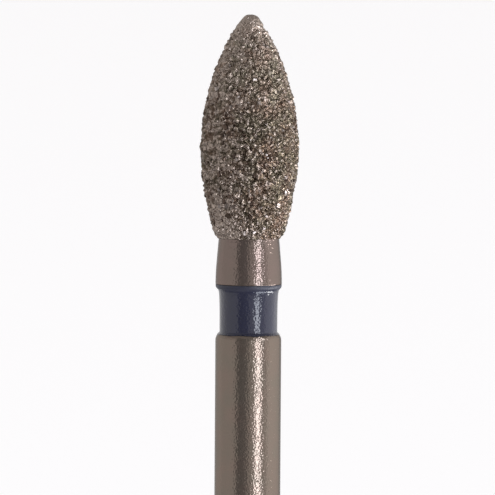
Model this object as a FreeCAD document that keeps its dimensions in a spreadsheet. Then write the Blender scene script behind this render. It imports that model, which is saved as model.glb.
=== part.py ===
import FreeCAD, Part
import math
import os
import random
import Sketcher
from types import SimpleNamespace

# A friction-grip diamond bur for a dental turbine handpiece.
#
# It has three real pieces. The steel blank is turned from one bar: a plain shank, a groove for the
# colour mark, a tapered neck and a bud-shaped core. A band of blue lacquer fills the groove. The
# core carries a coat of diamond crystals set in nickel.
#
# Millimetres. The bur's axis is Z, the flat end of the shank is at z = 0 and the tip points up.

V = FreeCAD.Vector

# Name, size in millimetres and meaning of every driving dimension.
SIZES = [
    ("overall_length", 19.0, "flat end of the shank to the tip of the crystals"),
    ("shank_diameter", 1.6, "the friction-grip shank that the chuck holds"),
    ("end_chamfer", 0.15, "chamfer round the flat end"),
    ("rim_radius", 0.24, "round shoulder from the shank into the groove"),
    ("groove_length", 1.36, "start of the round shoulder to the wall under the neck"),
    ("groove_depth", 0.16, "shank surface to the steel floor of the groove"),
    ("neck_length", 1.17, "wall of the groove to the lower edge of the head"),
    ("neck_diameter", 1.61, "foot of the neck"),
    ("neck_edge", 0.02, "small chamfer between the wall and the neck"),
    ("neck_arc_radius", 6.0, "long arc from the foot of the neck into its taper"),
    ("neck_taper", 0.075, "radius that the neck loses between its foot and the head"),
    ("head_length", 5.375, "lower edge of the head to the tip"),
    ("belly_height", 2.05, "lower edge of the head to its widest place"),
    ("belly_diameter", 2.4, "widest place of the head, over the crystals"),
    ("nose_radius", 0.28, "round tip, over the crystals"),
    ("coat_thickness", 0.15, "steel core to the highest crystals"),
    ("bond_thickness", 0.09, "steel core to the bottom of the gaps between crystals"),
    ("crystal_pitch", 0.285, "spacing of the crystals"),
    ("lacquer_thickness", 0.057, "steel floor of the groove to the foot of the lacquer's band"),
    ("lacquer_draft", 0.015, "radius that the band gains towards the neck"),
    ("lacquer_rise", 0.255, "height of the lacquer's flare below the neck"),
    ("film_thickness", 0.012, "lacquer that ran over the round shoulder"),
    ("film_inset", 0.05, "shank surface to the end of that film, measured across the axis"),
]

# Levels and radii that several features share, as formulas on the sheet.
HEAD_BASE = "Sizes.overall_length - Sizes.head_length"
GROOVE_TOP = HEAD_BASE + " - Sizes.neck_length"
SHANK_TOP = GROOVE_TOP + " - Sizes.groove_length"
BELLY_LEVEL = HEAD_BASE + " + Sizes.belly_height"
NOSE_LEVEL = "Sizes.overall_length - Sizes.nose_radius"
SHANK_RADIUS = "Sizes.shank_diameter / 2"
FLOOR_RADIUS = SHANK_RADIUS + " - Sizes.groove_depth"
RIM_CENTRE = SHANK_RADIUS + " - Sizes.rim_radius"
NECK_RADIUS = "Sizes.neck_diameter / 2"
WALL_RADIUS = NECK_RADIUS + " - Sizes.neck_edge"
NECK_TOP_RADIUS = NECK_RADIUS + " - Sizes.neck_taper"
CORE_BELLY_RADIUS = "Sizes.belly_diameter / 2 - Sizes.coat_thickness"
CORE_NOSE_RADIUS = "Sizes.nose_radius - Sizes.coat_thickness"

# Places on a piece of sketch geometry, and the sketch's own vertical axis and origin.
START, END, CENTRE = 1, 2, 3
VERTICAL_AXIS = -2
ORIGIN = (-1, 1)

# The crystals are irregular, but the same ones come out of every build.
CRYSTAL_SEED = 7
RING_JITTER = 0.22          # share of the spacing that a gap may wander round its ring
ROW_JITTER = 0.30           # share of the row height that it may wander along the head
LEAN_SHARE = 0.10           # share of the spacing that a crystal may lean
LOWEST_CUT, HIGHEST_CUT = 0.45, 0.75   # where a crystal's pyramid is cut, from base to apex
SMALLEST_CRYSTAL = 0.55     # height of the lowest crystal's pyramid against the highest
TIP_CUT = 0.5               # where the pyramid of the crystal on the tip is cut
CHORD_DEPTH = 0.40          # share of the bond that a straight edge between two gaps may cut into


def make_sheet(doc):
    """The driving dimensions, one named cell each."""
    sheet = doc.addObject("Spreadsheet::Sheet", "Sizes")
    for row, (name, size, meaning) in enumerate(SIZES, start=1):
        sheet.set(f"A{row}", meaning)
        sheet.set(f"B{row}", str(size))
        sheet.setAlias(f"B{row}", name)
    doc.recompute()
    return sheet


def read_sizes(sheet):
    """The sheet's cells as numbers, with the levels and radii that the code itself needs."""
    v = SimpleNamespace(**{name: float(getattr(sheet, name)) for name, _, _ in SIZES})
    v.head_base = v.overall_length - v.head_length
    v.groove_top = v.head_base - v.neck_length
    v.shank_top = v.groove_top - v.groove_length
    v.belly_level = v.head_base + v.belly_height
    v.nose_level = v.overall_length - v.nose_radius
    v.shank_radius = v.shank_diameter / 2
    v.floor_radius = v.shank_radius - v.groove_depth
    v.neck_radius = v.neck_diameter / 2
    v.wall_radius = v.neck_radius - v.neck_edge
    v.neck_top_radius = v.neck_radius - v.neck_taper
    v.core_belly_radius = v.belly_diameter / 2 - v.coat_thickness
    v.core_nose_radius = v.nose_radius - v.coat_thickness
    return v


class Outline:
    """A closed outline in a body's XZ plane: drawn near its place, then tied to the sheet."""

    def __init__(self, body, name):
        self.sketch = body.newObject("Sketcher::SketchObject", name)
        plane = next(f for f in body.Origin.OriginFeatures if f.Role == "XZ_Plane")
        self.sketch.AttachmentSupport = [(plane, "")]
        self.sketch.MapMode = "FlatFace"

    def line(self, start, end):
        return self.sketch.addGeometry(Part.LineSegment(V(*start, 0), V(*end, 0)), False)

    def arc(self, centre, radius, first, last):
        circle = Part.Circle(V(*centre, 0), V(0, 0, 1), radius)
        return self.sketch.addGeometry(Part.ArcOfCircle(circle, first, last), False)

    def tie(self, kind, *places):
        self.sketch.addConstraint(Sketcher.Constraint(kind, *places))

    def size(self, kind, places, value, formula):
        index = self.sketch.addConstraint(Sketcher.Constraint(kind, *places, value))
        self.sketch.setExpression(f"Constraints[{index}]", formula)

    def radius_of(self, item, formula):
        self.size("Radius", (item,), self.sketch.Geometry[item].Radius, formula)

    def across(self, item, place, formula):
        """Distance of a point from the axis."""
        self.size("DistanceX", (item, place), self.sketch.getPoint(item, place).x, formula)

    def level(self, item, place, formula):
        """Height of a point above the flat end."""
        self.size("DistanceY", (item, place), self.sketch.getPoint(item, place).y, formula)


def revolve(body, outline, name):
    """Turn the outline into a solid round the bur's axis."""
    turned = body.newObject("PartDesign::Revolution", name)
    turned.Profile = outline.sketch
    turned.ReferenceAxis = (outline.sketch, ["V_Axis"])
    turned.Angle = 360.0
    body.Tip = turned


def core_arcs(v, skin):
    """The head's outline as arcs, a skin's thickness outside the steel core.

    Each arc is its centre, its radius and its first and last angle. The lower one rises from the
    neck to the belly, the next runs from the belly to the nose, and the last is the nose itself.
    """
    belly = v.core_belly_radius
    step_out = belly - v.neck_top_radius
    lower_radius = (v.belly_height ** 2 + step_out ** 2) / (2 * step_out)
    rise = v.nose_level - v.belly_level
    nose = v.core_nose_radius
    upper_radius = (belly ** 2 + rise ** 2 - nose ** 2) / (2 * (belly - nose))
    foot_angle = -math.asin(v.belly_height / lower_radius)
    nose_angle = math.atan2(rise, upper_radius - belly)
    return [
        ((belly + skin - lower_radius, v.belly_level), lower_radius, foot_angle, 0.0),
        ((belly - upper_radius, v.belly_level), upper_radius + skin, 0.0, nose_angle),
        ((0.0, v.nose_level), nose + skin, nose_angle, math.pi / 2),
    ]


def draw_shank(o, v):
    """Flat end, chamfer, cylinder and the round shoulder into the groove."""
    shank = v.shank_radius
    face = o.line((0, 0), (shank - v.end_chamfer, 0))
    chamfer = o.line((shank - v.end_chamfer, 0), (shank, v.end_chamfer))
    side = o.line((shank, v.end_chamfer), (shank, v.shank_top))
    shoulder_end = math.acos(1 - v.groove_depth / v.rim_radius)
    shoulder = o.arc((shank - v.rim_radius, v.shank_top), v.rim_radius, 0, shoulder_end)
    o.tie("Coincident", face, START, *ORIGIN)
    o.tie("Horizontal", face)
    o.tie("Coincident", face, END, chamfer, START)
    o.tie("Coincident", chamfer, END, side, START)
    o.tie("Vertical", side)
    o.tie("Tangent", side, END, shoulder, START)
    o.across(face, END, SHANK_RADIUS + " - Sizes.end_chamfer")
    o.level(side, START, "Sizes.end_chamfer")
    o.across(side, END, SHANK_RADIUS)
    o.level(side, END, SHANK_TOP)
    o.radius_of(shoulder, "Sizes.rim_radius")
    return face, shoulder


def draw_groove(o, v, shoulder):
    """Floor of the groove and the flat wall under the neck."""
    floor_foot = v.shank_top + v.rim_radius * math.sin(math.acos(1 - v.groove_depth / v.rim_radius))
    floor = o.line((v.floor_radius, floor_foot), (v.floor_radius, v.groove_top))
    wall = o.line((v.floor_radius, v.groove_top), (v.wall_radius, v.groove_top))
    o.tie("Coincident", shoulder, END, floor, START)
    o.tie("Vertical", floor)
    o.tie("Coincident", floor, END, wall, START)
    o.tie("Horizontal", wall)
    o.across(floor, END, FLOOR_RADIUS)
    o.level(floor, END, GROOVE_TOP)
    return wall


def draw_neck(o, v, wall):
    """Small chamfer, then one long arc into the straight taper up to the head."""
    foot = v.groove_top + v.neck_edge
    slope = math.atan2(v.neck_taper, v.head_base - foot)
    bend = v.neck_arc_radius
    centre = (v.neck_radius - bend, foot)
    bend_end = (centre[0] + bend * math.cos(slope), foot + bend * math.sin(slope))
    edge = o.line((v.wall_radius, v.groove_top), (v.neck_radius, foot))
    arc = o.arc(centre, bend, 0, slope)
    taper = o.line(bend_end, (v.neck_top_radius, v.head_base))
    o.tie("Coincident", wall, END, edge, START)
    o.tie("Coincident", edge, END, arc, START)
    o.tie("Horizontal", arc, CENTRE, arc, START)
    o.tie("Tangent", arc, END, taper, START)
    o.across(edge, START, WALL_RADIUS)
    o.across(arc, START, NECK_RADIUS)
    o.level(arc, START, GROOVE_TOP + " + Sizes.neck_edge")
    o.radius_of(arc, "Sizes.neck_arc_radius")
    o.across(taper, END, NECK_TOP_RADIUS)
    o.level(taper, END, HEAD_BASE)
    return taper


def draw_core(o, v, taper, face):
    """Bud-shaped core of the head, closed down the axis."""
    lower, upper, nose = [o.arc(*arc) for arc in core_arcs(v, 0.0)]
    axis = o.line((0, v.nose_level + v.core_nose_radius), (0, 0))
    o.tie("Coincident", taper, END, lower, START)
    o.tie("Tangent", lower, END, upper, START)
    o.tie("Tangent", upper, END, nose, START)
    o.tie("Coincident", nose, END, axis, START)
    o.tie("Coincident", axis, END, face, START)
    o.tie("PointOnObject", axis, START, VERTICAL_AXIS)
    o.tie("PointOnObject", nose, CENTRE, VERTICAL_AXIS)
    o.level(lower, CENTRE, BELLY_LEVEL)
    o.across(lower, END, CORE_BELLY_RADIUS)
    o.level(lower, END, BELLY_LEVEL)
    o.level(nose, CENTRE, NOSE_LEVEL)
    o.radius_of(nose, CORE_NOSE_RADIUS)


def make_steel_blank(doc, v):
    """Shank, groove, neck and core of the head, turned from one bar."""
    body = doc.addObject("PartDesign::Body", "steel_blank")
    outline = Outline(body, "BlankOutline")
    face, shoulder = draw_shank(outline, v)
    wall = draw_groove(outline, v, shoulder)
    taper = draw_neck(outline, v, wall)
    draw_core(outline, v, taper, face)
    revolve(body, outline, "TurnedBlank")
    return body


def draw_lacquer_bed(o, v):
    """Where the lacquer lies on the steel: the shoulder, the floor and the wall."""
    centre = (v.shank_radius - v.rim_radius, v.shank_top)
    film_end = math.acos(1 - v.film_inset / v.rim_radius)
    shoulder_end = math.acos(1 - v.groove_depth / v.rim_radius)
    floor_foot = v.shank_top + v.rim_radius * math.sin(shoulder_end)
    bed = o.arc(centre, v.rim_radius, film_end, shoulder_end)
    floor = o.line((v.floor_radius, floor_foot), (v.floor_radius, v.groove_top))
    wall = o.line((v.floor_radius, v.groove_top), (v.wall_radius, v.groove_top))
    o.tie("Coincident", bed, END, floor, START)
    o.tie("Vertical", floor)
    o.tie("Coincident", floor, END, wall, START)
    o.tie("Horizontal", wall)
    o.across(bed, CENTRE, RIM_CENTRE)
    o.level(bed, CENTRE, SHANK_TOP)
    o.radius_of(bed, "Sizes.rim_radius")
    o.across(bed, START, SHANK_RADIUS + " - Sizes.film_inset")
    o.across(floor, START, FLOOR_RADIUS)
    o.level(floor, END, GROOVE_TOP)
    o.across(wall, END, WALL_RADIUS)
    return bed, wall


def draw_lacquer_surface(o, v, bed, wall):
    """The lacquer's own surface: a flare under the neck, a slightly tapered band and a thin film."""
    band_foot = v.floor_radius + v.lacquer_thickness
    band_top = band_foot + v.lacquer_draft
    flare_foot = v.groove_top - v.lacquer_rise
    swell = v.wall_radius - band_top
    flare_radius = (v.lacquer_rise ** 2 + swell ** 2) / (2 * swell)
    flare_top = math.pi - math.asin(v.lacquer_rise / flare_radius)
    centre = (v.shank_radius - v.rim_radius, v.shank_top)
    film_radius = v.rim_radius + v.film_thickness
    film_end = math.acos(1 - v.film_inset / v.rim_radius)
    film_top = math.acos((band_foot - centre[0]) / film_radius)
    side_foot = v.shank_top + film_radius * math.sin(film_top)
    lip = [(centre[0] + r * math.cos(film_end), centre[1] + r * math.sin(film_end))
           for r in (film_radius, v.rim_radius)]
    flare = o.arc((band_top + flare_radius, flare_foot), flare_radius, flare_top, math.pi)
    side = o.line((band_top, flare_foot), (band_foot, side_foot))
    film = o.arc(centre, film_radius, film_end, film_top)
    end = o.line(*lip)
    o.tie("Coincident", wall, END, flare, START)
    o.tie("Tangent", flare, END, side, START)
    o.tie("Coincident", side, END, film, END)
    o.tie("Coincident", film, START, end, START)
    o.tie("Coincident", end, END, bed, START)
    o.tie("Coincident", film, CENTRE, bed, CENTRE)
    o.tie("PointOnObject", bed, CENTRE, end)
    o.across(side, START, FLOOR_RADIUS + " + Sizes.lacquer_thickness + Sizes.lacquer_draft")
    o.level(side, START, GROOVE_TOP + " - Sizes.lacquer_rise")
    o.across(side, END, FLOOR_RADIUS + " + Sizes.lacquer_thickness")
    o.radius_of(film, "Sizes.rim_radius + Sizes.film_thickness")


def make_colour_ring(doc, v):
    """Band of blue lacquer that fills the groove and marks the coarseness of the crystals."""
    body = doc.addObject("PartDesign::Body", "colour_ring")
    outline = Outline(body, "LacquerOutline")
    bed, wall = draw_lacquer_bed(outline, v)
    draw_lacquer_surface(outline, v, bed, wall)
    revolve(body, outline, "LacquerBand")
    return body


def ring_count(v, radius):
    """Gaps round one ring: about a pitch apart, and close enough to keep their chords off the core."""
    by_pitch = round(2 * math.pi * radius / v.crystal_pitch)
    depth = min(CHORD_DEPTH * v.bond_thickness / radius, 1.0)
    by_depth = math.ceil(math.pi / math.acos(1 - depth))
    return max(by_pitch, by_depth)


def ring_levels(v):
    """Where the rings of gaps lie: the arc of the head, the angle on it and the height of a row."""
    row_height = v.crystal_pitch * math.sqrt(3) / 2
    levels = []
    for arc in core_arcs(v, v.bond_thickness):
        _, radius, first, last = arc
        rows = max(2, round(radius * (last - first) / row_height))
        step = (last - first) / rows
        levels.extend((arc, first + step * row, step) for row in range(rows))
    return levels


def gap_ring(v, rng, level, row_jitter):
    """Lowest points between the crystals, once round the head."""
    ((cx, cz), radius, _, _), angle, step = level
    count = ring_count(v, cx + radius * math.cos(angle))
    phase = rng.random()
    ring = []
    for i in range(count):
        turn = 2 * math.pi * (i + phase + rng.uniform(-RING_JITTER, RING_JITTER)) / count
        place = angle + step * rng.uniform(-row_jitter, row_jitter)
        r = cx + radius * math.cos(place)
        ring.append(V(r * math.cos(turn), r * math.sin(turn), cz + radius * math.sin(place)))
    return ring


def gap_rings(v, rng):
    """Every ring of gaps from the head's lower edge up. The first and the last one are level."""
    levels = ring_levels(v)
    jitters = [0.0] + [ROW_JITTER] * (len(levels) - 2) + [0.0]
    return [gap_ring(v, rng, level, jitter) for level, jitter in zip(levels, jitters)]


def turn_of(point):
    return math.atan2(point.y, point.x) % (2 * math.pi)


def from_zero_turn(ring):
    """A ring's points in order of their angle, with the first one again a full turn later."""
    ordered = sorted(ring, key=turn_of)
    turns = [turn_of(p) for p in ordered]
    return ordered + ordered[:1], turns + [turns[0] + 2 * math.pi]


def cells_between(lower, upper):
    """Triangles that join two neighbouring rings, walking round both at once."""
    low, low_turns = from_zero_turn(lower)
    high, high_turns = from_zero_turn(upper)
    cells = []
    i = j = 0
    while i < len(lower) or j < len(upper):
        next_low = low_turns[i + 1] if i < len(lower) else math.inf
        next_high = high_turns[j + 1] if j < len(upper) else math.inf
        if next_low <= next_high:
            cells.append((low[i], low[i + 1], high[j]))
            i += 1
        else:
            cells.append((low[i], high[j + 1], high[j]))
            j += 1
    return cells


def polygon_face(*corners):
    return Part.Face(Part.makePolygon([*corners, corners[0]]))


def cut_pyramid(base, apex, cuts):
    """Flat faces of a pyramid over a base, each of its edges cut off at its own share."""
    top = [p + (apex - p) * cut for p, cut in zip(base, cuts)]
    faces = [polygon_face(*top)]
    for k in range(len(base)):
        n = (k + 1) % len(base)
        faces.append(polygon_face(base[k], base[n], top[n], top[k]))
    return faces


def radius_at(point):
    return math.hypot(point.x, point.y)


def crystal_faces(v, rng, cell):
    """One crystal: a leaning three-sided pyramid over its cell, cut off by a tilted plane."""
    a, b, c = cell
    middle = (a + b + c) / 3
    outward = (b - a).cross(c - a).normalize()
    sag = sum(radius_at(p) for p in cell) / 3 - radius_at(middle)
    tallest = sag + (v.coat_thickness - v.bond_thickness) / HIGHEST_CUT
    lean = LEAN_SHARE * v.crystal_pitch
    apex = middle + outward * tallest * rng.uniform(SMALLEST_CRYSTAL, 1.0)
    apex += (b - a).normalize() * rng.uniform(-lean, lean)
    return cut_pyramid(cell, apex, [rng.uniform(LOWEST_CUT, HIGHEST_CUT) for _ in cell])


def tip_crystal_faces(v, ring):
    """The crystal on the tip, level on top, which sets the overall length."""
    height = (v.overall_length - ring[0].z) / TIP_CUT
    return cut_pyramid(ring, V(0, 0, ring[0].z + height), [TIP_CUT] * len(ring))


def outer_faces(v, rings, rng):
    """The coat's outer surface: a crystal over every cell between the rings, and one on the tip."""
    faces = []
    for lower, upper in zip(rings, rings[1:]):
        for cell in cells_between(lower, upper):
            faces.extend(crystal_faces(v, rng, cell))
    last, _ = from_zero_turn(rings[-1])
    return faces + tip_crystal_faces(v, last[:-1])


def lower_face(v, ring):
    """Flat underside of the bond, between the lowest ring of gaps and the neck."""
    outline, _ = from_zero_turn(ring)
    neck = Part.Circle(V(0, 0, v.head_base), V(0, 0, 1), v.neck_top_radius).toShape()
    return Part.Face(Part.makePolygon(outline)).cut(Part.Face(Part.Wire(neck))).Faces


def make_diamond_coat(doc, v, blank):
    """Diamond crystals in their nickel bond, one shell of cut crystals seated on the blank's core."""
    rng = random.Random(CRYSTAL_SEED)
    rings = gap_rings(v, rng)
    seat = [face for face in blank.Shape.Faces if face.CenterOfMass.z > v.head_base]
    skin = Part.Compound(outer_faces(v, rings, rng) + lower_face(v, rings[0]) + seat)
    skin.sewShape()
    solid = Part.Solid(skin.Shells[0])
    if solid.Volume < 0:
        solid.reverse()
    coat = doc.addObject("Part::Feature", "diamond_coat")
    coat.Shape = solid
    return coat


def check(doc, nodes):
    """Stop before anything is written if a feature failed or a piece isn't one sound solid."""
    for item in doc.Objects:
        if "Invalid" in item.State or "Error" in item.State:
            raise RuntimeError(f"{item.Label} failed: {item.State}")
    for node in nodes:
        shape = node.Shape
        if shape.isNull() or not shape.isValid() or len(shape.Solids) != 1:
            raise RuntimeError(f"{node.Label} is not one valid solid")


def main():
    doc = FreeCAD.newDocument("dental_bur")
    sheet = make_sheet(doc)
    v = read_sizes(sheet)
    blank = make_steel_blank(doc, v)
    ring = make_colour_ring(doc, v)
    doc.recompute()
    coat = make_diamond_coat(doc, v, blank)
    nodes = [blank, ring, coat]
    for node in nodes:
        node.Placement = FreeCAD.Placement(V(0, 0, 0), FreeCAD.Rotation())
    doc.recompute()
    check(doc, nodes)
    os.makedirs("parts", exist_ok=True)
    for node in nodes:
        node.Shape.exportStep(f"parts/{node.Label}.step")
        print(node.Label, round(node.Shape.Volume, 4), "mm3", len(node.Shape.Faces), "faces")


main()
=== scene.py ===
import math
import random
from itertools import combinations, product
from typing import NamedTuple

import bpy
import numpy as np
from mathutils import Matrix, Quaternion, Vector, kdtree, noise


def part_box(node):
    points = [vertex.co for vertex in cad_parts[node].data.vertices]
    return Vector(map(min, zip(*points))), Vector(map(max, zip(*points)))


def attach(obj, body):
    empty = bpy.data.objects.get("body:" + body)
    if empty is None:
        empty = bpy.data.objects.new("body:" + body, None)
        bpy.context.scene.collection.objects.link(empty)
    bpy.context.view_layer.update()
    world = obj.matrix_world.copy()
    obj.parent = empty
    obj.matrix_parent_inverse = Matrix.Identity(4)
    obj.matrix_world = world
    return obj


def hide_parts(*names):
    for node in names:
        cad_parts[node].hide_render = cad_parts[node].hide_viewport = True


# Looks of a friction-grip diamond bur: a turned steel blank, a band of blue lacquer in its groove
# and a head coated in diamond crystals that stand in plated nickel. Everything is in metres.

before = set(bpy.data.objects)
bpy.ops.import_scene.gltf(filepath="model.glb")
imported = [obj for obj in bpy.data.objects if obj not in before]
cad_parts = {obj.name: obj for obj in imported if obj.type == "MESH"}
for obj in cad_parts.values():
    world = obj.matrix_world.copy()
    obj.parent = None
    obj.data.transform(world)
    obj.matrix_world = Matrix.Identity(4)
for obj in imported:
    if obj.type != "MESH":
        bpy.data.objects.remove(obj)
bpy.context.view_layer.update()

MM = 0.001
SEED = 11
noise.seed_set(SEED)

# Levels along the bur's axis, read from the frame where a node ends there.
HEAD_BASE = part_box("diamond_coat")[0].z
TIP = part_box("diamond_coat")[1].z
GROOVE_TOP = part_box("colour_ring")[1].z
GROOVE_LENGTH = 1.36 * MM
SHOULDER_FOOT = GROOVE_TOP - GROOVE_LENGTH

# The turned blank.
SHANK_RADIUS = 0.80 * MM
END_CHAMFER = 0.15 * MM
RIM_RADIUS = 0.24 * MM
GROOVE_DEPTH = 0.16 * MM
FLOOR_RADIUS = SHANK_RADIUS - GROOVE_DEPTH
NECK_RADIUS = 0.805 * MM
NECK_TOP_RADIUS = 0.73 * MM
NECK_ARC_RADIUS = 6.0 * MM
NECK_LAND = 0.02 * MM           # straight part at the neck's foot
SMALL_EASE = 0.024 * MM         # rounding of the edges of its end and of the neck's foot
LARGE_EASE = 0.048 * MM         # rounding between the chamfer and the shank
AROUND = 288                    # steps round the axis

# The lacquer band, from its lip on the shoulder up to its bead under the neck.
LACQUER_FILM = 0.012 * MM       # its thickness on the shoulder
LIP_RISE = 0.147 * MM           # its lower edge, above the shoulder's foot
LIP_WANDER = 0.012 * MM
BAND_SWELL = 0.003 * MM         # how far it swells and shrinks round the axis
LACQUER_WAIST = 0.702 * MM
LACQUER_FLARE = 0.064 * MM      # how much further out than the waist it would stand at the top
FLARE_LENGTH = 0.19 * MM        # how fast the flare dies away downwards
BEAD_DEPTH = 0.096 * MM         # from the groove's top to the bead's lower side
BEAD_SOFTNESS = 0.019 * MM
BEAD_RADIUS = NECK_RADIUS - 0.002 * MM
FILM_BLEND = 0.010 * MM         # how softly the film runs into the band
LACQUER_ROWS = 44

# The head: where the steel core is widest, and how far the coat stands off it.
COAT = 0.15 * MM
BOND = 0.09 * MM
BELLY_HEIGHT = 2.05 * MM
BELLY_RADIUS = 1.20 * MM
NOSE_RADIUS = 0.28 * MM
CORE_BELLY = BELLY_RADIUS - COAT
CORE_NOSE = NOSE_RADIUS - COAT
BELLY_LEVEL = HEAD_BASE + BELLY_HEIGHT
NOSE_LEVEL = TIP - NOSE_RADIUS

# The coat's thickness isn't even: it leans, swells at the belly and goes in waves.
COAT_LEAN = 0.017               # it grows this much thicker for each length up the head
LEAN_LEVEL = HEAD_BASE + 2.1 * MM
COAT_SWELL = 0.022 * MM
SWELL_LENGTH = 0.9 * MM
COAT_WAVE = 0.022 * MM
WAVE_LENGTH = 0.36 * MM

# The plated nickel. Above the cap's foot it covers everything and is smooth.
CAP_FOOT = TIP - 0.38 * MM
NICKEL_STEP = 0.0226 * MM
NICKEL_COLUMNS = 348
THINNEST_NICKEL = 0.012 * MM
EDGE_ROWS = 4                   # rows that round off its lower edge
EDGE_DROP = 0.030 * MM
RAGGED_ROWS = 8                 # rows in which the raggedness of the edge dies away
BOND_FILL = 0.74                # its height between the crystals, against BOND
BOND_RIPPLE = 0.36
CAP_FILL = 0.96                 # the cap's height, against COAT
CAP_RIPPLE = 0.12
RIPPLE_SIZE = 0.13 * MM
PLEAT_SIZE = 0.150 * MM
PLEAT_BEND = 0.05 * MM
PLEAT_HEIGHT = 0.036 * MM
PLEAT_MEAN = 0.40               # the part of a pleat's height that is taken off everywhere
CALM_ON_CAP = 0.5               # how much weaker the pleats are on the cap
CALM_OVER_CRYSTALS = 0.7        # and over covered crystals
CLIMB = 0.45                    # share of the way to a bare crystal's top that it climbs
CLIMB_REACH = 0.05 * MM         # how far below a crystal's surface the climb begins

# The crystals.
CRYSTAL_SHAPES = 36             # different ones, of which every seat takes one
STRETCH = (0.78, 1.25)          # least and most, along each axis
ASKEW = 0.13                    # how far a face leans off its true direction, as a spread
CUBE_REACH = (0.70, 1.00)       # least and most from the middle to a cube's face
OCTAHEDRON_REACH = (0.72, 1.12)
SEAT_STEP = 0.01 * MM           # between the rows that they are thrown on
CROWDING = 0.84                 # least distance between two, against their half-widths together
CELL = 0.31 * MM                # grid in which neighbours are looked for
FOOT_ROOM = 0.55                # least distance to the head's base, against the half-width
CAP_ROOM = 0.2                  # least distance to the cap's foot, against the half-width
LEAN = 15.0                     # degrees that a crystal's level face leans, as a spread


class Grade(NamedTuple):
    """One size of crystal."""
    name: str
    least: float                # smallest half-width
    most: float                 # largest half-width
    throws: int                 # how many are thrown
    places: int                 # how many may stay
    covered: float              # share that the nickel covers
    high: float                 # how high the highest stand, against the coat
    low: float                  # how high the lowest stand


GRADES = [
    Grade("boulder", 0.105 * MM, 0.145 * MM, 900, 90, 1.00, 0.98, 0.86),
    Grade("coarse", 0.062 * MM, 0.090 * MM, 9000, 900, 0.88, 1.00, 0.74),
    Grade("medium", 0.038 * MM, 0.056 * MM, 16000, 1900, 0.72, 0.97, 0.68),
    Grade("fine", 0.022 * MM, 0.034 * MM, 14000, 1600, 0.60, 0.90, 0.62),
]

# Dull metal doesn't brighten towards its outline as clean metal would.
EDGE_TINT = (0.6, 0.6, 0.6, 1)

# The soft lights: azimuth and elevation in degrees, distance, width, height, radiance and tint.
# The first makes the streak down the bur. The high and the low one carry it on over the shoulder
# and the head. The bounced one makes the small bright spot on the lacquer's flare.
COOL = (0.98, 1.03, 1.13)
FAINTLY_COOL = (1.0, 1.01, 1.02)
WHITE = (1.0, 1.0, 1.0)
SOFT_LIGHTS = {
    "tall_softbox": (36, -4, 1.0, 0.28, 0.34, 5.5, COOL),
    "high_softbox": (46, 30, 1.0, 0.40, 0.36, 5.0, COOL),
    "low_softbox": (54, -37, 1.0, 0.70, 0.45, 4.2, COOL),
    "side_softbox": (104, 5, 1.2, 1.8, 1.8, 0.50, FAINTLY_COOL),
    "bounced_light": (98, -28, 1.0, 0.5, 0.34, 10.0, FAINTLY_COOL),
    "back_softbox": (-135, 5, 1.2, 1.2, 1.8, 0.12, WHITE),
}


def make_piece(name, points, faces, smooth):
    """A mesh object from points in metres and lists of corner numbers."""
    mesh = bpy.data.meshes.new(name)
    mesh.from_pydata([tuple(p) for p in points], [], faces)
    mesh.validate()
    mesh.polygons.foreach_set("use_smooth", [smooth] * len(mesh.polygons))
    mesh.update()
    piece = bpy.data.objects.new(name, mesh)
    bpy.context.scene.collection.objects.link(piece)
    return piece


def dress(piece, finish, node):
    """Give a piece its finish and its body, and let it stand for its node."""
    piece.data.materials.append(finish)
    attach(piece, "root")
    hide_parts(node)


def arc_points(centre, radius, first, last, steps):
    """Points along an arc in the plane of radius and height, both ends included."""
    turns = np.linspace(first, last, steps + 1)
    return [(centre[0] + radius * math.cos(t), centre[1] + radius * math.sin(t)) for t in turns]


def rounded(corners, steps=5):
    """A path through corners, each given as its radius from the axis, its height and its rounding."""
    path = [corners[0][:2]]
    for before, corner, after in zip(corners, corners[1:], corners[2:]):
        here = Vector(corner[:2])
        if corner[2] == 0:
            path.append(tuple(here))
            continue
        back = (Vector(before[:2]) - here).normalized()
        ahead = (Vector(after[:2]) - here).normalized()
        half = back.angle(ahead) / 2
        reach = corner[2] / math.tan(half)
        centre = here + (back + ahead).normalized() * (corner[2] / math.sin(half))
        first, last = here + back * reach, here + ahead * reach
        for step in range(steps + 1):
            spoke = (first - centre).lerp(last - centre, step / steps).normalized()
            path.append(tuple(centre + spoke * corner[2]))
    path.append(corners[-1][:2])
    return path


def turned(name, outline_at, closed, sharp_angle):
    """Turn an outline round the axis. It may change with the turn, and ends on the axis unless closed."""
    turns = [2 * math.pi * i / AROUND for i in range(AROUND)]
    outlines = [outline_at(turn) for turn in turns]
    length = len(outlines[0])
    points = []
    for turn, outline in zip(turns, outlines):
        points.extend((r * math.cos(turn), r * math.sin(turn), z) for r, z in outline)
    starts = [(i * length, (i + 1) % AROUND * length) for i in range(AROUND)]
    faces = []
    for here, there in starts:
        for k in range(length if closed else length - 1):
            n = (k + 1) % length
            faces.append((here + k, there + k, there + n, here + n))
    if not closed:
        foot, top = len(points), len(points) + 1
        points += [(0, 0, outlines[0][0][1]), (0, 0, outlines[0][-1][1])]
        for here, there in starts:
            faces.append((foot, there, here))
            faces.append((top, here + length - 1, there + length - 1))
    piece = make_piece(name, points, faces, True)
    piece.data.set_sharp_from_angle(angle=sharp_angle)
    return piece


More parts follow.
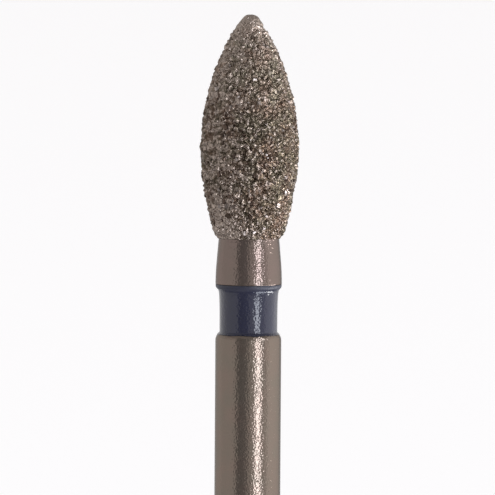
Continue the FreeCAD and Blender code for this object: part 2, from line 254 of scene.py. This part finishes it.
def core_arcs():
    """The steel core's outline as three arcs: centre, radius, first and last angle."""
    step_out = CORE_BELLY - NECK_TOP_RADIUS
    lower = (BELLY_HEIGHT ** 2 + step_out ** 2) / (2 * step_out)
    rise = NOSE_LEVEL - BELLY_LEVEL
    upper = (CORE_BELLY ** 2 + rise ** 2 - CORE_NOSE ** 2) / (2 * (CORE_BELLY - CORE_NOSE))
    nose_angle = math.atan2(rise, upper - CORE_BELLY)
    return [
        ((CORE_BELLY - lower, BELLY_LEVEL), lower, -math.asin(BELLY_HEIGHT / lower), 0.0),
        ((CORE_BELLY - upper, BELLY_LEVEL), upper, 0.0, nose_angle),
        ((0.0, NOSE_LEVEL), CORE_NOSE, nose_angle, math.pi / 2),
    ]


def neck_outline():
    """The neck from the groove's wall to the head: a long arc that runs into a straight taper."""
    foot = GROOVE_TOP + NECK_LAND
    length = HEAD_BASE - foot
    drop = NECK_RADIUS - NECK_TOP_RADIUS
    bend = NECK_ARC_RADIUS
    # The taper leaves the arc where the rest of the neck reaches the head at the right radius.
    reach = math.hypot(length, bend - drop)
    lean = math.atan2(length, bend - drop) - math.acos(bend / reach)
    arc = arc_points((NECK_RADIUS - bend, foot), bend, 0.0, lean, 12)
    return arc + [(NECK_TOP_RADIUS, HEAD_BASE)]


def make_steel_blank():
    """Shank, round shoulder, groove, neck and core in one turned piece, with its edges eased."""
    shoulder_end = math.acos(1 - GROOVE_DEPTH / RIM_RADIUS)
    shoulder = arc_points((SHANK_RADIUS - RIM_RADIUS, SHOULDER_FOOT), RIM_RADIUS, 0.0, shoulder_end, 24)
    neck = neck_outline()
    middle = 0.02 * MM
    end = rounded([(middle, 0, 0), (SHANK_RADIUS - END_CHAMFER, 0, SMALL_EASE),
                   (SHANK_RADIUS, END_CHAMFER, LARGE_EASE), (*shoulder[0], 0)])
    rows = 40
    side = [(SHANK_RADIUS, END_CHAMFER + k * (SHOULDER_FOOT - END_CHAMFER) / rows) for k in range(1, rows)]
    foot = rounded([(FLOOR_RADIUS, GROOVE_TOP, 0), (NECK_RADIUS, GROOVE_TOP, SMALL_EASE), (*neck[1], 0)])
    core = []
    for centre, radius, first, last in core_arcs():
        core += arc_points(centre, radius, first, last, 16)[1:]
    path = end[:-1] + side + shoulder + foot[:-1] + neck[1:] + core[:-1]
    return turned("turned_blank", lambda turn: path, False, math.radians(35))


def shoulder_radius(z):
    """Radius of the steel under the lacquer: the round shoulder, then the groove's floor."""
    up = max(z - SHOULDER_FOOT, 0.0)
    across = math.sqrt(max(RIM_RADIUS ** 2 - up ** 2, 0.0))
    return max(SHANK_RADIUS - RIM_RADIUS + across, FLOOR_RADIUS)


def lacquer_radius(z, swell):
    """The lacquer's surface: a film on the shoulder, a slim waist, a flare and a bead under the neck."""
    film = shoulder_radius(z) + LACQUER_FILM
    depth = GROOVE_TOP - z
    band = LACQUER_WAIST + LACQUER_FLARE * math.exp(-depth / FLARE_LENGTH) + swell
    bead = 1 / (1 + math.exp((depth - BEAD_DEPTH) / BEAD_SOFTNESS))
    band += bead * (BEAD_RADIUS - band)
    return max(film, band) + 0.5 * FILM_BLEND * math.exp(-abs(film - band) / FILM_BLEND)


def lacquer_outline(turn):
    """Section of the lacquer at one turn. Its lower edge wanders a little, as paint does."""
    place = Vector((math.cos(turn), math.sin(turn), 0.0))
    wander = noise.noise(place * 2.1) + noise.noise(place * 9.0) / 3
    lip = SHOULDER_FOOT + LIP_RISE + LIP_WANDER * wander
    swell = BAND_SWELL * noise.noise(place * 1.4 + Vector((0, 0, 5)))
    shares = [0.5 - 0.5 * math.cos(math.pi * k / LACQUER_ROWS) for k in range(LACQUER_ROWS + 1)]
    levels = [lip + share * (GROOVE_TOP - lip) for share in shares]
    outer = [(lacquer_radius(z, swell), z) for z in levels[1:]]
    inner = [(shoulder_radius(z), z) for z in reversed(levels[::4])]
    return [(shoulder_radius(lip), lip)] + outer + inner[:-1]


def make_lacquer_band():
    """The cured lacquer as a closed ring on the groove's floor and the shoulder."""
    return turned("lacquer_band", lacquer_outline, True, math.radians(50))


def core_line(step):
    """The coat's seat, from the top of the neck to the tip: radius, height and outward angle of each row."""
    lean = math.atan2(NECK_RADIUS - NECK_TOP_RADIUS, HEAD_BASE - GROOVE_TOP)
    rows = [(NECK_TOP_RADIUS + step * math.tan(lean), HEAD_BASE - step, lean)]
    for centre, radius, first, last in core_arcs():
        count = max(6, round(radius * (last - first) / step))
        for k in range(count):
            angle = first + (last - first) * k / count
            rows.append((centre[0] + radius * math.cos(angle), centre[1] + radius * math.sin(angle), angle))
    return np.array(rows)


def resting_turn(rng):
    """A turn that leaves one of the crystal's faces nearly level, as grit settles."""
    face = Vector((0, 0, 1)) if rng.random() < 0.5 else Vector((1, 1, 1))
    level = face.rotation_difference(Vector((0, 0, 1)))
    spin = Quaternion((0, 0, 1), rng.uniform(0, 2 * math.pi))
    lean = Quaternion((1, 0, 0), rng.gauss(0, math.radians(LEAN)))
    roll = Quaternion((0, 1, 0), rng.gauss(0, math.radians(LEAN)))
    return (lean @ roll @ spin @ level).to_matrix()


class Crystal:
    """A convex crystal, kept as its flat faces and their corners. Its half-width is about 1."""

    def __init__(self, rng):
        """Take a cube's and an octahedron's faces, each at its own distance and a little askew."""
        cube = [Vector(axis) * sign for axis in ((1, 0, 0), (0, 1, 0), (0, 0, 1)) for sign in (1, -1)]
        octahedron = [Vector(corner).normalized() for corner in product((1, -1), repeat=3)]
        stretch = Vector([rng.uniform(*STRETCH) for _ in range(3)])
        normals, offsets = [], []
        for ways, reach in ((cube, CUBE_REACH), (octahedron, OCTAHEDRON_REACH)):
            for way in ways:
                askew = Vector([rng.gauss(0, ASKEW) for _ in range(3)])
                normals.append(((way + askew) * stretch).normalized())
                offsets.append(rng.uniform(*reach))
        self.normals = np.array(normals)
        self.offsets = np.array(offsets)
        self.find_corners()

    def find_corners(self):
        """Corners are where three faces meet inside all the others. Each face's own go round it."""
        n, d = self.normals, self.offsets
        corners, owners = [], []
        for three in map(list, combinations(range(len(n)), 3)):
            if abs(np.linalg.det(n[three])) < 1e-3:
                continue
            meeting = np.linalg.solve(n[three], d[three])
            if np.all(n @ meeting <= d + 1e-9):
                corners.append(meeting)
                owners.append(three)
        self.corners = np.array(corners)
        self.faces = []
        for face, normal in enumerate(n):
            own = [c for c, three in enumerate(owners) if face in three]
            if len(own) < 3:
                continue
            middle = self.corners[own].mean(0)
            across = self.corners[own[0]] - middle
            beside = np.cross(normal, across)
            own.sort(key=lambda c: math.atan2((self.corners[c] - middle) @ beside,
                                              (self.corners[c] - middle) @ across))
            self.faces.append(own)


class Head:
    """The core's surface in rows and columns, to seat crystals on and to raise nickel from."""

    def __init__(self, step):
        """Rows stand a step apart. Each has a share of the surface, added up from the foot."""
        self.rows = core_line(step)
        self.chances = np.cumsum(self.rows[:, 0] + BOND)

    def place(self, row, turn, height):
        """A point at a height above the core, on a row (which may lie between two) at a turn."""
        low = min(int(row), len(self.rows) - 2)
        r, z, angle = self.rows[low] + (self.rows[low + 1] - self.rows[low]) * (row - low)
        out = r + height * math.cos(angle)
        return Vector((out * math.cos(turn), out * math.sin(turn), z + height * math.sin(angle)))

    def outward(self, row, turn):
        """The direction straight out of the core."""
        angle = self.rows[min(int(row), len(self.rows) - 1), 2]
        across = math.cos(angle)
        return Vector((across * math.cos(turn), across * math.sin(turn), math.sin(angle)))

    def any_place(self, rng):
        """A row and a turn, chosen evenly over the surface."""
        row = np.searchsorted(self.chances, rng.random() * self.chances[-1])
        return float(row), rng.uniform(0, 2 * math.pi)


def thicker(spot):
    """How much further out than usual the coat stands: thin at its foot, full at the belly, uneven."""
    elsewhere = Vector((7.1, 3.3, 1.7))     # a part of the noise that nothing else uses
    wave = COAT_WAVE * noise.noise(spot / WAVE_LENGTH + elsewhere)
    belly = COAT_SWELL * math.exp(-((spot.z - LEAN_LEVEL) / SWELL_LENGTH) ** 2)
    return COAT_LEAN * (min(spot.z, CAP_FOOT) - LEAN_LEVEL) + belly + wave


class Seat:
    """Where one crystal sits: its grade, half-width, place, outward direction and tilt."""

    def __init__(self, grade, half, row, turn, head, rng):
        """The random draws say how it is turned, whether nickel covers it and how high it stands."""
        self.grade = grade
        self.half = half
        self.middle = head.place(row, turn, BOND)
        self.outward = head.outward(row, turn)
        self.tilt = resting_turn(rng)
        self.covered = rng.random() < grade.covered
        self.top = COAT * rng.uniform(grade.low, grade.high) + thicker(self.middle)

    def axes(self):
        """Axes of the seat, as columns: along the ring, along the head and outward."""
        along = Vector((0, 0, 1)).cross(self.outward).normalized()
        return np.array(Matrix((along, self.outward.cross(along), self.outward)).transposed())


def scatter(head, rng):
    """Throw crystals on the head, the largest first, and keep those that find room."""
    taken = {}
    seats = []
    for grade in GRADES:
        kept = 0
        for _ in range(grade.throws):
            row, turn = head.any_place(rng)
            half = rng.uniform(grade.least, grade.most)
            spot = head.place(row, turn, BOND)
            if not HEAD_BASE + FOOT_ROOM * half < spot.z < CAP_FOOT - CAP_ROOM * half:
                continue
            cell = tuple(int(math.floor(c / CELL)) for c in spot)
            around = product(*((c - 1, c, c + 1) for c in cell))
            near = [other for key in around for other in taken.get(key, ())]
            if any((spot - other).length < CROWDING * (half + size) for other, size in near):
                continue
            taken.setdefault(cell, []).append((spot, half))
            seats.append(Seat(grade, half, row, turn, head, rng))
            kept += 1
            if kept == grade.places:
                break
    return seats


def settle(seat, crystal):
    """Turn and scale a crystal into its seat. Gives its corners and its faces' planes."""
    tilt = np.array(seat.tilt)
    corners = crystal.corners @ tilt.T * seat.half
    lift = seat.top - BOND - corners[:, 2].max()
    corners[:, 2] += lift
    normals = crystal.normals @ tilt.T
    offsets = crystal.offsets * seat.half + normals[:, 2] * lift
    return corners, normals, offsets


def smooth(share):
    """Ease a share between 0 and 1 in and out."""
    return share * share * (3 - 2 * share)


def pleats(spot):
    """Sharp meandering crests in loops round hollows, 0 to 1 high."""
    bent = spot + PLEAT_BEND * noise.noise_vector(spot / RIPPLE_SIZE)
    nearest = noise.voronoi(bent / PLEAT_SIZE)[0]
    return min(nearest[0] * 1.35, 1.0) ** 2


def cap_share(spot):
    """1 on the smooth cap at the tip, 0 below its wandering foot, which leans to one side."""
    foot = CAP_FOOT + 0.25 * spot.x + 0.05 * MM * noise.noise(spot / (0.25 * MM))
    return smooth(min(max((spot.z - foot) / (0.03 * MM), 0.0), 1.0))


def height_over(seat, crystal, places):
    """Height above the core of the nickel that lies right over a crystal, at given places."""
    local = (places - np.array(seat.middle)) @ seat.axes()
    _, normals, offsets = settle(seat, crystal)
    up = normals[:, 2] > 0.05
    tops = (offsets[up] - local[:, :2] @ normals[up, :2].T) / normals[up, 2]
    return tops.min(axis=1) + BOND


def climb(seats, shapes, spots, base):
    """Nickel that climbs round bare crystals and goes over covered ones, and 1 where it goes over."""
    tree = kdtree.KDTree(len(spots))
    for index, spot in enumerate(spots):
        tree.insert(spot, index)
    tree.balance()
    height = base.copy()
    calm = np.zeros(len(spots))
    for seat, crystal in zip(seats, shapes):
        found = tree.find_range(seat.middle, seat.half * 1.7)
        if not found:
            continue
        index = np.array([number for _, number, _ in found])
        raised = height_over(seat, crystal, np.array([tuple(spot) for spot, _, _ in found]))
        if seat.covered:
            calm[index[raised > height[index]]] = 1.0
        else:
            share = smooth(np.clip((raised - base[index]) / CLIMB_REACH + 1, 0, 1))
            raised = base[index] + CLIMB * (seat.top - base[index]) * share
        height[index] = np.maximum(height[index], raised)
    return height, calm


def raise_nickel(head, turns, seats, shapes):
    """Height of the nickel above the core, at every row of the head and every turn."""
    spots = [head.place(row, turn, BOND) for row in range(len(head.rows)) for turn in turns]
    ripples = np.array([noise.noise(spot / RIPPLE_SIZE) for spot in spots])
    base = BOND * (BOND_FILL + BOND_RIPPLE * ripples) + np.array([thicker(spot) for spot in spots])
    height, calm = climb(seats, shapes, spots, base)
    crests = PLEAT_HEIGHT * (np.array([pleats(spot) for spot in spots]) - PLEAT_MEAN)
    cap = np.array([cap_share(spot) for spot in spots])
    height += cap * (COAT * (CAP_FILL + CAP_RIPPLE * ripples) - height)
    height += (1 - CALM_ON_CAP * cap) * (1 - CALM_OVER_CRYSTALS * calm) * crests
    return np.maximum(height, THINNEST_NICKEL).reshape(len(head.rows), len(turns))


def inner_rings():
    """The shell's side on the core, from the nose down to the head's base: radius and height."""
    line = []
    for centre, radius, first, last in reversed(core_arcs()):
        line += arc_points(centre, radius, last, first, 6)[:-1]
    return line[1:]


def outer_rings(head, height, turns):
    """The shell's free side, from its rounded, ragged lower edge to the nose: radius and height."""
    spokes = [Vector((math.cos(turn), math.sin(turn), 0.0)) for turn in turns]
    ragged = MM * np.array([0.020 * noise.noise(s * 6.0) + 0.012 * noise.noise(s * 17.0) for s in spokes])
    rings = []
    r, z, angle = head.rows[0]
    for k in range(EDGE_ROWS, 0, -1):
        share = k / EDGE_ROWS
        out = height[0] * math.sqrt(1 - share * share)
        rings.append((r + out * math.cos(angle), z - EDGE_DROP * share + out * math.sin(angle) + ragged))
    for row, (r, z, angle) in enumerate(head.rows):
        fade = max(0.0, 1 - row / RAGGED_ROWS)
        out = height[row]
        rings.append((r + out * math.cos(angle), z + out * math.sin(angle) + fade * ragged))
    return rings


def make_nickel_bond(seats, shapes):
    """The plated nickel as a closed shell on the core."""
    head = Head(NICKEL_STEP)
    columns = NICKEL_COLUMNS
    turns = 2 * math.pi * np.arange(columns) / columns
    height = raise_nickel(head, turns, seats, shapes)
    rings = inner_rings() + outer_rings(head, height, turns)
    points = []
    for r, z in rings:
        places = np.broadcast_arrays(r * np.cos(turns), r * np.sin(turns), z)
        points.extend(np.stack(places, axis=1))
    pairs = [(c, (c + 1) % columns) for c in range(columns)]
    last = (len(rings) - 1) * columns
    faces = []
    for here in range(0, last, columns):
        there = here + columns
        faces.extend((here + c, here + n, there + n, there + c) for c, n in pairs)
    inner, outer = len(points), len(points) + 1
    core_tip = NOSE_LEVEL + CORE_NOSE
    points += [(0, 0, core_tip), (0, 0, core_tip + float(height[-1].mean()))]
    faces.extend((inner, n, c) for c, n in pairs)
    faces.extend((outer, last + c, last + n) for c, n in pairs)
    return make_piece("nickel_bond", points, faces, True)


def make_crystals(name, seats, shapes):
    """The crystals that stand out of the nickel, as closed solids in one piece."""
    points, faces = [], []
    for seat, crystal in zip(seats, shapes):
        corners, _, _ = settle(seat, crystal)
        start = len(points)
        points.extend(corners @ seat.axes().T + np.array(seat.middle))
        faces.extend([start + c for c in face] for face in crystal.faces)
    return make_piece(name, points, faces, False)


class Value:
    """A number that varies over a surface. Arithmetic on it adds Math nodes."""

    def __init__(self, finish, socket):
        self.finish = finish
        self.socket = socket

    def joined(self, operation, first, second):
        """The outcome of one Math node."""
        return self.finish.node("ShaderNodeMath", {"operation": operation}, {0: first, 1: second})["Value"]

    def __add__(self, other):
        return self.joined("ADD", self, other)

    __radd__ = __add__

    def __mul__(self, other):
        return self.joined("MULTIPLY", self, other)

    __rmul__ = __mul__

    def __sub__(self, other):
        return self.joined("SUBTRACT", self, other)

    def __rsub__(self, other):
        return self.joined("SUBTRACT", other, self)


class Nodes:
    """The node tree of a material or of the world."""

    def __init__(self, owner):
        owner.use_nodes = True
        self.tree = owner.node_tree
        self.tree.nodes.clear()

    def node(self, kind, settings=None, sockets=None):
        """Add a node: its settings first, then the values or links of its sockets."""
        made = self.tree.nodes.new(kind)
        for key, value in (settings or {}).items():
            setattr(made, key, value)
        for key, value in (sockets or {}).items():
            socket = self.socket_of(made, key)
            if isinstance(value, Value):
                self.tree.links.new(value.socket, socket)
            else:
                socket.default_value = value
        return {s.identifier: Value(self, s) for s in made.outputs}

    def socket_of(self, made, key):
        """A node's input, by its number, its identifier or its name."""
        if isinstance(key, int):
            return made.inputs[key]
        return next(s for s in made.inputs if key in (s.identifier, s.name))

    def ramp(self, value, *stops):
        """Greys from a value, by stops of place and grey."""
        greys = self.node("ShaderNodeValToRGB", {}, {"Fac": value})["Color"]
        elements = greys.socket.node.color_ramp.elements
        while len(elements) < len(stops):
            elements.new(0.5)
        for element, (place, grey) in zip(elements, stops):
            element.position = place
            element.color = (grey, grey, grey, 1)
        return greys

    def height_of(self, place):
        """How high a place lies."""
        return self.node("ShaderNodeSeparateXYZ", {}, {"Vector": place})["Z"]


class Finish(Nodes):
    """A material, built round one Principled shader."""

    def __init__(self, name):
        self.material = bpy.data.materials.new(name)
        super().__init__(self.material)
        self.where = self.node("ShaderNodeTexCoord")["Object"]

    def noise(self, size, detail=2.0, rough=0.5, distort=0.0, where=None):
        """Soft noise from 0 to 1, with features of a given size in metres."""
        sockets = {"Vector": where or self.where, "Scale": 1 / size, "Detail": detail,
                   "Roughness": rough, "Distortion": distort}
        return self.node("ShaderNodeTexNoise", {}, sockets)["Fac"]

    def cells(self, size):
        """Distance from the middles of scattered cells of a given size in metres."""
        sockets = {"Vector": self.where, "Scale": 1 / size}
        return self.node("ShaderNodeTexVoronoi", {}, sockets)["Distance"]

    def seams(self, size, bend):
        """Distance from the meandering lines between scattered cells of a given size in metres."""
        bent = self.node("ShaderNodeTexNoise", {}, {"Vector": self.where, "Scale": 1 / size, "Detail": 2.0})
        sockets = {0: bent["Color"], 1: (bend, bend, bend), 2: self.where}
        moved = self.node("ShaderNodeVectorMath", {"operation": "MULTIPLY_ADD"}, sockets)["Vector"]
        settings = {"feature": "DISTANCE_TO_EDGE"}
        return self.node("ShaderNodeTexVoronoi", settings, {"Vector": moved, "Scale": 1 / size})["Distance"]

    def towards_tip(self):
        """0 at the head's belly, 1 near its tip."""
        rise = self.height_of(self.where) - BELLY_LEVEL
        return self.ramp(rise * (1 / (TIP - BELLY_LEVEL)), (0.15, 0), (0.85, 1))

    def above(self, level):
        """1 above a level and 0 below it."""
        sockets = {0: self.height_of(self.where), 1: level}
        return self.node("ShaderNodeMath", {"operation": "GREATER_THAN"}, sockets)["Value"]

    def squeezed(self, across, along):
        """Places with their distances across and along the bur scaled, to stretch a pattern."""
        sockets = {0: self.where, 1: (across, across, along)}
        return self.node("ShaderNodeVectorMath", {"operation": "MULTIPLY"}, sockets)["Vector"]

    def blend(self, share, first, second):
        """A colour between two colours."""
        sockets = {"Factor_Float": share, "A_Color": first, "B_Color": second}
        return self.node("ShaderNodeMix", {"data_type": "RGBA"}, sockets)["Result_Color"]

    def bump(self, height, depth, below=None):
        """Relief from a height of 0 to 1, a number of metres deep."""
        sockets = {"Height": height, "Strength": 1.0, "Distance": depth}
        if below:
            sockets["Normal"] = below
        return self.node("ShaderNodeBump", {}, sockets)["Normal"]

    def finished(self, sockets):
        """End the tree with the shader, and hand the material over."""
        shader = self.node("ShaderNodeBsdfPrincipled", {}, sockets)["BSDF"]
        self.node("ShaderNodeOutputMaterial", {}, {"Surface": shader})
        return self.material


def steel_finish():
    """Dull brownish steel, with a fine grain and shallow dimples that show where light glances off it."""
    f = Finish("dull_steel")
    patches = f.ramp(f.noise(0.55 * MM, 3.0, 0.6), (0.35, 0), (0.65, 1))
    shank = f.blend(patches, (0.222, 0.173, 0.146, 1), (0.206, 0.172, 0.144, 1))
    neck = f.blend(patches, (0.208, 0.158, 0.142, 1), (0.196, 0.156, 0.136, 1))
    on_neck = f.above(GROOVE_TOP)
    colour = f.blend(on_neck, shank, neck)
    grain = f.noise(0.060 * MM, 2.0, 0.55)
    dimples = f.ramp(f.cells(0.055 * MM), (0.0, 0), (0.62, 1))
    turning = on_neck * f.noise(0.13 * MM, 2.0, 0.6, where=f.squeezed(0.12, 1.0))
    relief = f.bump(grain, 0.0066 * MM, f.bump(dimples, 0.0035 * MM, f.bump(turning, 0.016 * MM)))
    return f.finished({"Base Color": colour, "Metallic": 1.0, "Roughness": 0.11 + 0.06 * grain,
                       "Specular Tint": EDGE_TINT, "Normal": relief})


def lacquer_finish():
    """Dark blue lacquer with the faint orange peel of paint: glossy, but duller on the bead."""
    f = Finish("blue_lacquer")
    cloud = f.noise(0.4 * MM, 2.0, 0.5)
    colour = f.blend(cloud, (0.007, 0.008, 0.022, 1), (0.010, 0.011, 0.030, 1))
    peel = f.noise(0.090 * MM, 2.0, 0.55)
    dimples = f.ramp(f.cells(0.060 * MM), (0.0, 0), (0.62, 1))
    on_bead = f.above(GROOVE_TOP - 0.105 * MM)
    return f.finished({"Base Color": colour, "Metallic": 0.0, "IOR": 1.60,
                       "Roughness": 0.09 + 0.04 * cloud + 0.40 * on_bead,
                       "Normal": f.bump(peel, 0.0050 * MM, f.bump(dimples, 0.0035 * MM))})


def nickel_finish():
    """Plated nickel between and over the crystals: brown and olive, with thin crests in loops painted light
    as a painted highlight, and painted shade in its hollows.
    """
    f = Finish("plated_nickel")
    patch = f.ramp(f.noise(0.45 * MM, 3.0, 0.6), (0.40, 0), (0.60, 1))
    low = f.blend(patch, (0.140, 0.094, 0.068, 1), (0.112, 0.092, 0.064, 1))
    high = f.blend(patch, (0.272, 0.200, 0.157, 1), (0.226, 0.194, 0.148, 1))
    dull = f.blend(f.towards_tip(), low, high)
    pointed = f.node("ShaderNodeNewGeometry")["Pointiness"]
    # Painted highlight: pointed crests are given a light colour where their edges would catch the light.
    crest = f.ramp(pointed, (0.51, 0), (0.58, 1))
    # Painted shade: the hollows are given a dark colour where they would lie in shade.
    hollow = f.ramp(pointed, (0.42, 1), (0.49, 0))
    painted_crest_highlight = f.blend(crest, dull, (0.430, 0.354, 0.308, 1))
    colour = f.blend(hollow, painted_crest_highlight, (0.078, 0.053, 0.041, 1))
    dull_share = f.ramp(f.noise(0.34 * MM, 2.0, 0.5), (0.44, 0), (0.60, 1))
    crinkle = f.noise(0.055 * MM, 2.0, 0.55, 0.6) * (1 - 0.55 * dull_share)
    seams = f.ramp(f.seams(0.110 * MM, 0.05 * MM), (0.02, 1), (0.18, 0))
    return f.finished({"Base Color": colour, "Metallic": 1.0, "Specular Tint": EDGE_TINT,
                       "Roughness": 0.10 + 0.12 * crinkle + 0.14 * dull_share,
                       "Normal": f.bump(crinkle, 0.012 * MM, f.bump(seams, 0.012 * MM))})


def crystal_finish():
    """Diamond crystals under a film of nickel: flat faces that glint one by one."""
    f = Finish("diamond_crystal")
    own = f.node("ShaderNodeNewGeometry")["Random Per Island"]
    dust = f.noise(0.040 * MM, 2.0, 0.6)
    bright = f.ramp(own, (0.55, 0), (0.95, 1))
    dark = f.blend(f.towards_tip(), (0.120, 0.086, 0.068, 1), (0.190, 0.145, 0.118, 1))
    colour = f.blend(bright, dark, (0.420, 0.365, 0.340, 1))
    return f.finished({"Base Color": colour, "Metallic": 1.0, "Roughness": 0.10 + 0.14 * dust,
                       "Specular Tint": EDGE_TINT, "Normal": f.bump(dust, 0.008 * MM)})


def make_head():
    """The nickel, and the crystals that stand out of it, the coarse and the fine in a piece each."""
    rng = random.Random(SEED)
    library = [Crystal(rng) for _ in range(CRYSTAL_SHAPES)]
    seats = scatter(Head(SEAT_STEP), rng)
    shapes = [rng.choice(library) for _ in seats]
    dress(make_nickel_bond(seats, shapes), nickel_finish(), "diamond_coat")
    finish = crystal_finish()
    for name, grades in (("coarse_crystals", ("boulder", "coarse")), ("fine_crystals", ("medium", "fine"))):
        bare = [(s, c) for s, c in zip(seats, shapes) if s.grade.name in grades and not s.covered]
        dress(make_crystals(name, *zip(*bare)), finish, "diamond_coat")


def matte(name, grey, glow=0.0):
    """A dull grey finish that may glow a little."""
    f = Finish(name)
    return f.finished({"Base Color": (grey, grey, grey, 1), "Roughness": 0.9, "Specular IOR Level": 0.2,
                       "Emission Color": (0.985, 0.970, 0.985, 1), "Emission Strength": glow})


def toward(azimuth, elevation, distance):
    """A point seen from the bur at an azimuth, counted to the right of the camera, and an elevation."""
    a, e = math.radians(azimuth), math.radians(elevation)
    return Vector((math.sin(a) * math.cos(e), -math.cos(a) * math.cos(e), math.sin(e))) * distance


def face_bur(obj, azimuth, elevation, distance):
    """Put a light or a card at its place, turned to the bur."""
    obj.location = toward(azimuth, elevation, distance)
    obj.rotation_mode = "QUATERNION"
    obj.rotation_quaternion = (-obj.location).to_track_quat("-Z", "Y")


def soft_light(name, azimuth, elevation, distance, width, height, radiance, colour):
    """A rectangular softbox of a given radiance."""
    light = bpy.data.lights.new(name, "AREA")
    light.shape = "RECTANGLE"
    light.size = width
    light.size_y = height
    light.energy = radiance * math.pi * width * height
    light.color = colour
    lamp = bpy.data.objects.new(name, light)
    bpy.context.scene.collection.objects.link(lamp)
    face_bur(lamp, azimuth, elevation, distance)


def make_room():
    """Pale surroundings, brightest round the horizon."""
    world = bpy.data.worlds.new("pale_room")
    bpy.context.scene.world = world
    room = Nodes(world)
    up = room.height_of(room.node("ShaderNodeTexCoord")["Generated"])
    glow = room.ramp(0.5 + 0.5 * up, (0.04, 0.55), (0.20, 0.28), (0.38, 0.80), (0.62, 0.80), (0.86, 0.45))
    sky = room.node("ShaderNodeBackground", {}, {"Color": (1.0, 0.985, 0.975, 1), "Strength": glow})
    room.node("ShaderNodeOutputWorld", {}, {"Surface": sky["Background"]})


def sheet(name, half_width, half_height, finish):
    """A flat rectangle that casts no shadow."""
    corners = [(x * half_width, y * half_height, 0) for x, y in ((-1, -1), (1, -1), (1, 1), (-1, 1))]
    piece = make_piece(name, corners, [(0, 1, 2, 3)], False)
    piece.data.materials.append(finish)
    piece.visible_shadow = False
    return piece


def make_studio():
    """A pale floor that mirrors don't see, a grey card seen in mirrors only, and the soft lights."""
    floor = sheet("floor", 3.0, 3.0, matte("pale_floor", 0.60, 0.568))
    floor.visible_glossy = False
    card = sheet("grey_card", 0.35, 0.6, matte("grey_card", 0.27))
    face_bur(card, -21, 4, 0.9)
    card.visible_camera = False
    card.visible_diffuse = False
    for name, settings in SOFT_LIGHTS.items():
        soft_light(name, *settings)


def make_camera():
    """A long lens, a little above the level, rolled so that the bur leans as it does in the picture."""
    frame_width = 12.0 * MM
    distance = 0.30
    elevation = 3.5
    roll = 0.38
    aim = Vector((-0.034 * MM, 0, 13.348 * MM))
    camera = bpy.data.cameras.new("camera")
    camera.sensor_width = 36.0
    camera.lens = camera.sensor_width * distance / frame_width
    camera.clip_start = 0.01
    camera.clip_end = 20.0
    holder = bpy.data.objects.new("camera", camera)
    bpy.context.scene.collection.objects.link(holder)
    away = toward(0, elevation, 1.0)
    holder.location = aim + away * distance
    holder.rotation_mode = "QUATERNION"
    holder.rotation_quaternion = (-away).to_track_quat("-Z", "Y") @ Quaternion((0, 0, 1), math.radians(roll))
    bpy.context.scene.camera = holder
    bpy.context.scene.view_settings.view_transform = "Standard"


dress(make_steel_blank(), steel_finish(), "steel_blank")
dress(make_lacquer_band(), lacquer_finish(), "colour_ring")
make_head()
make_room()
make_studio()
make_camera()
